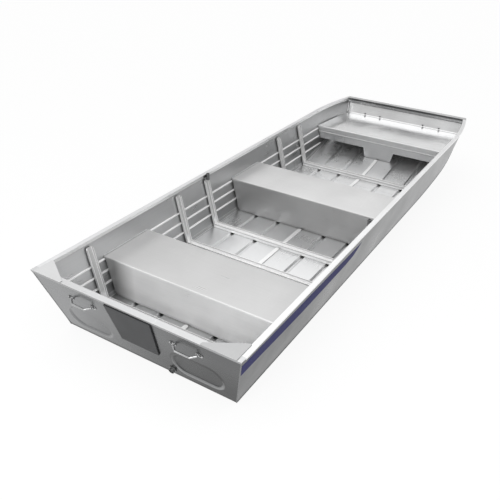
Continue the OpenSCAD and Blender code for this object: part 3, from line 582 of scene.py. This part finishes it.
# Benches
# Two box benches of pale satin sheet folded down to the floor front and back, with feet turned in below.
# Their tops reach over the rails to the side sheets and are welded along them.
# Painted light and shade: each bench's top and faces have their own tones for the light that falls on them,
# with the rear bench's faces painted light and the mid bench's dark
bench_looks = {
    "rear_bench": {
        "top": 0.56, "top_metallic": 0.6, "face": 0.90, "face_metallic": 0.35,
        "roughness": 0.34, "dull": 0.26, "dull_from": 0.36,
    },
    "mid_bench": {
        "top": 0.70, "top_metallic": 0.88, "face": 0.46, "face_metallic": 0.80,
        "roughness": 0.36, "dull": 0.35, "dull_from": -0.5,
    },
}
weld_metal = metal("weld_metal", (0.66, 0.665, 0.67), 0.36, BEAD_GRAIN, grain=0.3, bump=0.3)
fold_in, bench_weld_w, bench_weld_up, bench_weld_sunk = 0.008, 0.009, 0.001, 0.0015
for bench, level in bench_looks.items():
    bench_sheet = metal(
        f"{bench}_sheet", (level["top"],) * 3, level["roughness"], ACROSS_BOAT, metallic=level["top_metallic"]
    )
    tree = bench_sheet.node_tree
    spot, turn = where(tree), facing(tree)
    upright = ramp(tree, calc(tree, "ABSOLUTE", turn["X"]), 0.3, 0.8)
    forward_fold_highlight = ramp(tree, turn["X"], 0.1, 0.3)
    port_shade = ramp(tree, spot["Y"], 0.0, 0.45)
    # Painted shade: the tops darken towards port and the faces towards the port end, and a painted highlight
    # lies on the faces turned forward
    port_end = both(tree, upright, ramp(tree, spot["Y"], level["dull_from"], 0.5))
    tint(bench_sheet, port_shade, (level["top"] - 0.08,) * 3)
    tint(bench_sheet, upright, (level["face"],) * 3)
    tint(bench_sheet, forward_fold_highlight, (0.98, 0.98, 0.98))
    tint(bench_sheet, port_end, (level["dull"],) * 3)
    shine = ramp(tree, upright, 0.0, 1.0, level["top_metallic"], level["face_metallic"])
    tree.links.new(shine, tree.nodes["Principled BSDF"].inputs["Metallic"])
    dress([bench], bench_sheet)

    low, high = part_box(bench)
    for side, s in sides:
        edge = [on_side(x, high.z + bench_weld_up, s) for x in (low.x + fold_in, high.x - fold_in)]
        edge = [place - Vector((0, s * bench_weld_sunk, 0)) for place in edge]
        piece(f"{bench}_weld_{side}", weld(edge, bench_weld_w), weld_metal)

# Bow deck
# A polished sheet folded down in a hemmed lip at its aft edge and bent up in front to lie on the flat of the
# bow, with a panel and a centre leg behind the lip. It is welded to the sides, and strips close the corners.
deck_t, hem, fold_r, bend_r, hold = 0.003, 0.004, 0.006, 0.014, 0.004
deck_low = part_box("bow_deck")[0]
lip_x, lip_foot = deck_low.x + hem, deck_low.z
past_lip, bow_heights = 0.1, (0.02, 0.09)
deck_z = touch("bow_deck", (lip_x + past_lip, 0, 1), (0, 0, -1)).z
upturn_top = floor_z + 0.345
deck_gap, bow_gap = 0.0015, 0.0005
bend_steps = 10


def flat_of_bow(z):
    """How far forward the upturned end of the deck stands at a height, and how it leans."""
    low, high = [touch("bow_plate", (lip_x + past_lip, 0, deck_z + up), (1, 0, 0)) for up in bow_heights]
    lean = (high.x - low.x) / (high.z - low.z)
    return low.x + (z - low.z) * lean - (deck_t + bow_gap) * math.hypot(1, lean), lean


def bent_sheet(start, heading, moves):
    """Places and headings along a bent sheet, from runs that each end in a bend of a radius and an angle."""
    x, z = start
    line = [(x, z, heading)]
    for run, radius, turn in moves:
        x += run * math.cos(heading)
        z += run * math.sin(heading)
        line.append((x, z, heading))
        for i in range(bend_steps if turn else 0):
            half = turn / bend_steps / 2
            chord = 2 * radius * math.sin(abs(half))
            heading += half
            x += chord * math.cos(heading)
            z += chord * math.sin(heading)
            heading += half
            line.append((x, z, heading))
    return line


def deck_shape():
    """The deck sheet, its section carried from side sheet to side sheet."""
    flat_x, lean = flat_of_bow(deck_z)
    climb = math.pi / 2 - math.atan(lean)
    bend_in = bend_r * math.tan(climb / 2)
    rise = (upturn_top - deck_z) / math.sin(climb) - bend_in
    moves = [
        (deck_z - fold_r - lip_foot - 2 * hem - hold, 0, 0),
        (hold, fold_r, -math.pi / 2),
        (hold, 0, 0),
        (flat_x - bend_in - lip_x - fold_r - 2 * hold, 0, 0),
        (hold, bend_r, climb),
        (hold, 0, 0),
        (rise - hold, 0, 0),
    ]
    line = bent_sheet((lip_x, lip_foot + 2 * hem), math.pi / 2, moves)
    under = [(x + deck_t * math.sin(a), z - deck_t * math.cos(a)) for x, z, a in line]
    foot = [
        (lip_x + deck_t, lip_foot), (lip_x - 0.7 * hem, lip_foot),
        (lip_x - hem, lip_foot + 0.3 * hem), (lip_x - hem, lip_foot + 1.4 * hem),
    ]
    loop = foot + [(x, z) for x, z, a in line] + under[::-1]
    points = []
    for side, s in sides:
        points.extend(Vector((x, on_side(x, z, s).y - s * deck_gap, z)) for x, z in loop)
    n = len(loop)
    around = [(i, (i + 1) % n, n + (i + 1) % n, n + i) for i in range(n)]
    # The ends are closed by strips between the upper and the under side
    top = len(foot)
    caps = [(0, i, i + 1) for i in range(1, top)]
    caps.extend((top + i, top + i + 1, n - 2 - i, n - 1 - i) for i in range(len(line) - 1))
    caps.append((0, top, n - 1))
    port_end = [face[::-1] for face in caps]
    starboard_end = [tuple(n + i for i in face) for face in caps]
    return points, around + port_end + starboard_end


polished, rubbed = 0.19, 0.42
deck_sheet = metal("deck_sheet", (0.92, 0.923, 0.926), polished, ACROSS_BOAT, clouds=0.12, metallic=0.80)
tree = deck_sheet.node_tree
# The lip is rubbed dull and carries painted shade, darker than the deck, and the deck in front of it keeps
# its polish
spot = where(tree)
polish = ramp(tree, spot["X"], lip_x + 0.003, lip_x + 0.015, rubbed, polished)
tree.links.new(polish, tree.nodes["finish"].inputs["Base Roughness"])
tint(deck_sheet, ramp(tree, spot["X"], lip_x + 0.010, lip_x + 0.004), (0.62, 0.623, 0.626))
deck = piece("bow_deck_sheet", deck_shape(), deck_sheet)
soften(deck, 0.0004)
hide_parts("bow_deck")
# Welds along the front of the deck, and a rounded strip in each bow corner
weld_from, weld_to, deck_weld_up, deck_weld_sunk = 3.33, 3.475, 0.001, 0.002
strip_r, strip_sunk, strip_sides = 0.0045, 0.6, 12
strip_low, strip_high = deck_z + 0.004, upturn_top - 0.012


def corner_of_bow(z, s):
    """The middle of the strip between the flat of the bow and a side sheet, at a height."""
    x = flat_of_bow(z)[0] - strip_r
    return Vector((x, on_side(x, z, s).y - s * strip_r * strip_sunk, z))


def tube(rings):
    """A tube through rings of points, closed at both ends."""
    count = len(rings[0])
    points = [point for each in rings for point in each]
    faces = []
    for k in range(len(rings) - 1):
        a, b = k * count, (k + 1) * count
        faces.extend((a + i, a + (i + 1) % count, b + (i + 1) % count, b + i) for i in range(count))
    faces.append(tuple(range(count))[::-1])
    faces.append(tuple(range(len(points) - count, len(points))))
    return points, faces


strip_metal = metal("strip_metal", (0.92, 0.92, 0.92), 0.30, (60.0, 60.0, 5.0), metallic=0.6)
for side, s in sides:
    edge = [on_side(stern_x + x, deck_z + deck_weld_up, s) for x in (weld_from, weld_to)]
    edge = [place - Vector((0, s * deck_weld_sunk, 0)) for place in edge]
    piece(f"deck_weld_{side}", weld(edge, weld_w), strip_metal)
    foot, head = [corner_of_bow(z, s) for z in (strip_low, strip_high)]
    way = (head - foot).normalized()
    strip = tube([ring(place, way, strip_r, strip_sides) for place in (foot, head)])
    soften(piece(f"bow_corner_strip_{side}", strip, strip_metal), 0.0003)

face_sheet = metal("face_sheet", (0.60, 0.605, 0.61), 0.34, ACROSS_BOAT, clouds=0.25, metallic=0.85)
dress(["deck_face"], face_sheet)

# Keelson and keel
# Bright strips with rounded ends along the middle of the floor between the frames, and a tapered keel strip
# below the bottom. Both are welded to the sheet.
keelson_metal = metal("keelson_metal", (0.88, 0.88, 0.88), 0.34, ALONG_BOAT, clouds=0.1, metallic=0.5)
dress(["keelson"], keelson_metal)
dress(["keel"], floor_sheet)

# Motor pad and clamp board
# A thick pad of dark textured paint on metal outside the transom, tapered to its foot, where an outboard
# motor clamps, and a board of the same outline inside.
pad_paint = metal(
    "pad_paint", (0.032, 0.033, 0.035), 0.62, (260.0, 260.0, 260.0),
    grain=0.5, scuffs=0.6, bump=0.5, metallic=0.0,
)
dress(["motor_pad"], pad_paint, 0.0012)
# The board takes the transom's finish, its painted shade included
dress(["motor_board"], transom_sheet, 0.0012)

# Drain
# A flanged tube in dark cast metal, through the foot of the transom to starboard of the middle.
# Its flange lies against the plate, and it takes an expanding plug.
CAST_GRAIN = (200.0, 200.0, 200.0)
drain_metal = metal("drain_metal", (0.24, 0.242, 0.244), 0.45, CAST_GRAIN, grain=0.4, bump=0.3)
dress(["drain_fitting"], drain_metal, 0.0005)

# Carry handles
# Bent rods on small feet, two on the transom and two on the flat of the bow. Each is bolted through the
# sheet, and the nuts of the bow handles stand inside on the upturned end of the deck.
rod_metal = metal("rod_metal", (0.50, 0.503, 0.506), 0.34, (120.0, 120.0, 120.0), grain=0.2)
handles = [f"handle_{end}_{side}" for end in ("stern", "bow") for side, s in sides]
dress(handles, rod_metal, 0.0005)

bow_rake = math.radians(26)
out_of = {
    "stern": Vector((-math.cos(transom_rake), 0, -math.sin(transom_rake))),
    "bow": Vector((math.cos(bow_rake), 0, -math.sin(bow_rake))),
}
# Radius and height along the axis
bolt_head = ((0.0055, 0.0), (0.0055, 0.0016), (0.0048, 0.0032), (0.003, 0.0042), (0.0008, 0.0046))
nut = (
    (0.0065, -0.001), (0.0065, 0.0040), (0.0060, 0.0046),
    (0.0034, 0.0046), (0.0034, 0.0070), (0.0028, 0.0076),
)
bolt_out, bolt_sunk, bolt_sides = 0.079, 0.0004, 14
nut_out, nut_up, nut_sides = 0.072, 0.010, 6
clear_of_boat = 0.3


def turned(profile, foot, axis, count):
    """A shape turned about an axis, closed at both ends."""
    return tube([ring(foot + axis * height, axis, radius, count) for radius, height in profile])


bolt_metal = metal("bolt_metal", (0.10, 0.101, 0.102), 0.34, CAST_GRAIN, grain=0.3)
for name in handles:
    out = out_of[name.split("_")[1]]
    low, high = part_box(name)
    heads = []
    for t in (-1, 1):
        start = (low + high) / 2 + Vector((0, t * bolt_out, 0)) + out * clear_of_boat
        foot = touch(name, start, -out)
        heads.append(turned(bolt_head, foot - out * bolt_sunk, out, bolt_sides))
    piece(f"{name}_bolts", joined(heads), bolt_metal)

for side, s in sides:
    low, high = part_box(f"handle_bow_{side}")
    z = (low.z + high.z) / 2 + nut_up
    feet = [Vector((flat_of_bow(z)[0], (low.y + high.y) / 2 + t * nut_out, z)) for t in (-1, 1)]
    nuts = joined([turned(nut, foot, -out_of["bow"], nut_sides) for foot in feet])
    piece(f"handle_bow_{side}_nuts", nuts, bolt_metal, flat=True)

# Oar sockets
# A bored sleeve on a plate, cast in dark metal, which takes the shank of an oarlock.
# It is screwed to the inner lip of each gunwale.
socket_metal = metal("socket_metal", (0.20, 0.201, 0.203), 0.5, CAST_GRAIN, grain=0.5, bump=0.4)
dress(["oar_socket_port", "oar_socket_starboard"], socket_metal, 0.0006)

# Studio
# A white floor, a soft sky that is brightest overhead, a softbox aft to starboard, and the camera at the
# photograph's place.
floor_half, whiteness = 60.0, 0.88
corners = [(floor_half * x, floor_half * y, 0) for x, y in ((-1, -1), (1, -1), (1, 1), (-1, 1))]
floor_mesh = bpy.data.meshes.new("studio_floor")
floor_mesh.from_pydata(corners, [], [(0, 1, 2, 3)])
studio_floor = bpy.data.objects.new("studio_floor", floor_mesh)
bpy.context.collection.objects.link(studio_floor)

paper = bpy.data.materials.new("white_paper")
paper.use_nodes = True
tree = paper.node_tree
tree.nodes.clear()
rays = add_node(tree, "ShaderNodeLightPath").outputs
seen = calc(tree, "MAXIMUM", rays["Is Camera Ray"], rays["Is Glossy Ray"])
seen = calc(tree, "MAXIMUM", seen, rays["Is Transmission Ray"])
matt = add_node(tree, "ShaderNodeBsdfDiffuse", {"Color": (0.85, 0.85, 0.85, 1.0)})
glow = add_node(tree, "ShaderNodeEmission", {"Color": (1.0, 1.0, 1.0, 1.0), "Strength": 1.0})
share = calc(tree, "MULTIPLY", seen, whiteness)
blend = add_node(tree, "ShaderNodeMixShader", {0: share, 1: matt.outputs[0], 2: glow.outputs[0]})
tree.links.new(blend.outputs[0], add_node(tree, "ShaderNodeOutputMaterial").inputs[0])
floor_mesh.materials.append(paper)

world = bpy.data.worlds.new("soft_sky")
world.use_nodes = True
bpy.context.scene.world = world
tree = world.node_tree
way = add_node(tree, "ShaderNodeTexCoord").outputs["Generated"]
lean = math.radians(10)
overhead = (math.sin(lean), 0.0, math.cos(lean))
near = add_node(tree, "ShaderNodeVectorMath", {0: way, 1: overhead}, operation="DOT_PRODUCT")
feeds = {"Value": near.outputs["Value"], "From Min": 0.36, "From Max": 0.75, "To Min": 0.44, "To Max": 1.32}
level = add_node(tree, "ShaderNodeMapRange", feeds, interpolation_type="SMOOTHSTEP")
sky = tree.nodes["Background"].inputs
sky["Color"].default_value = (1.0, 1.0, 1.0, 1.0)
tree.links.new(level.outputs[0], sky["Strength"])

lamp = bpy.data.lights.new("softbox", "AREA")
lamp.shape = "RECTANGLE"
lamp.size, lamp.size_y = 3.0, 2.0
lamp.energy = 100.0
softbox = bpy.data.objects.new("softbox", lamp)
softbox_at, softbox_aim = boat(-3.0, -1.3, 2.6), boat(0.4, 0, 0.2)
softbox.location = softbox_at
softbox.rotation_euler = (softbox_aim - softbox_at).to_track_quat("-Z", "Y").to_euler()
bpy.context.collection.objects.link(softbox)

camera_at = boat(-1.67196, -1.57197, 1.97426)
pitch, heading, roll = math.radians(30.76), math.radians(31.06), math.radians(-1.68)
focal_px, image_px, sensor_mm = 599.46, 500, 36.0
look = Vector((math.cos(pitch) * math.cos(heading), math.cos(pitch) * math.sin(heading), -math.sin(pitch)))
right = Vector((math.sin(heading), -math.cos(heading), 0))
down = look.cross(right)
turned_right = math.cos(roll) * right + math.sin(roll) * down
turned_down = -math.sin(roll) * right + math.cos(roll) * down
camera_data = bpy.data.cameras.new("camera")
camera_data.sensor_width = sensor_mm
camera_data.lens = focal_px / image_px * sensor_mm
camera_data.clip_end = 500.0
camera = bpy.data.objects.new("camera", camera_data)
axes = Matrix((turned_right, -turned_down, -look)).transposed().to_4x4()
camera.matrix_world = Matrix.Translation(camera_at) @ axes
bpy.context.collection.objects.link(camera)
bpy.context.scene.camera = camera
bpy.context.scene.view_settings.view_transform = "Standard"
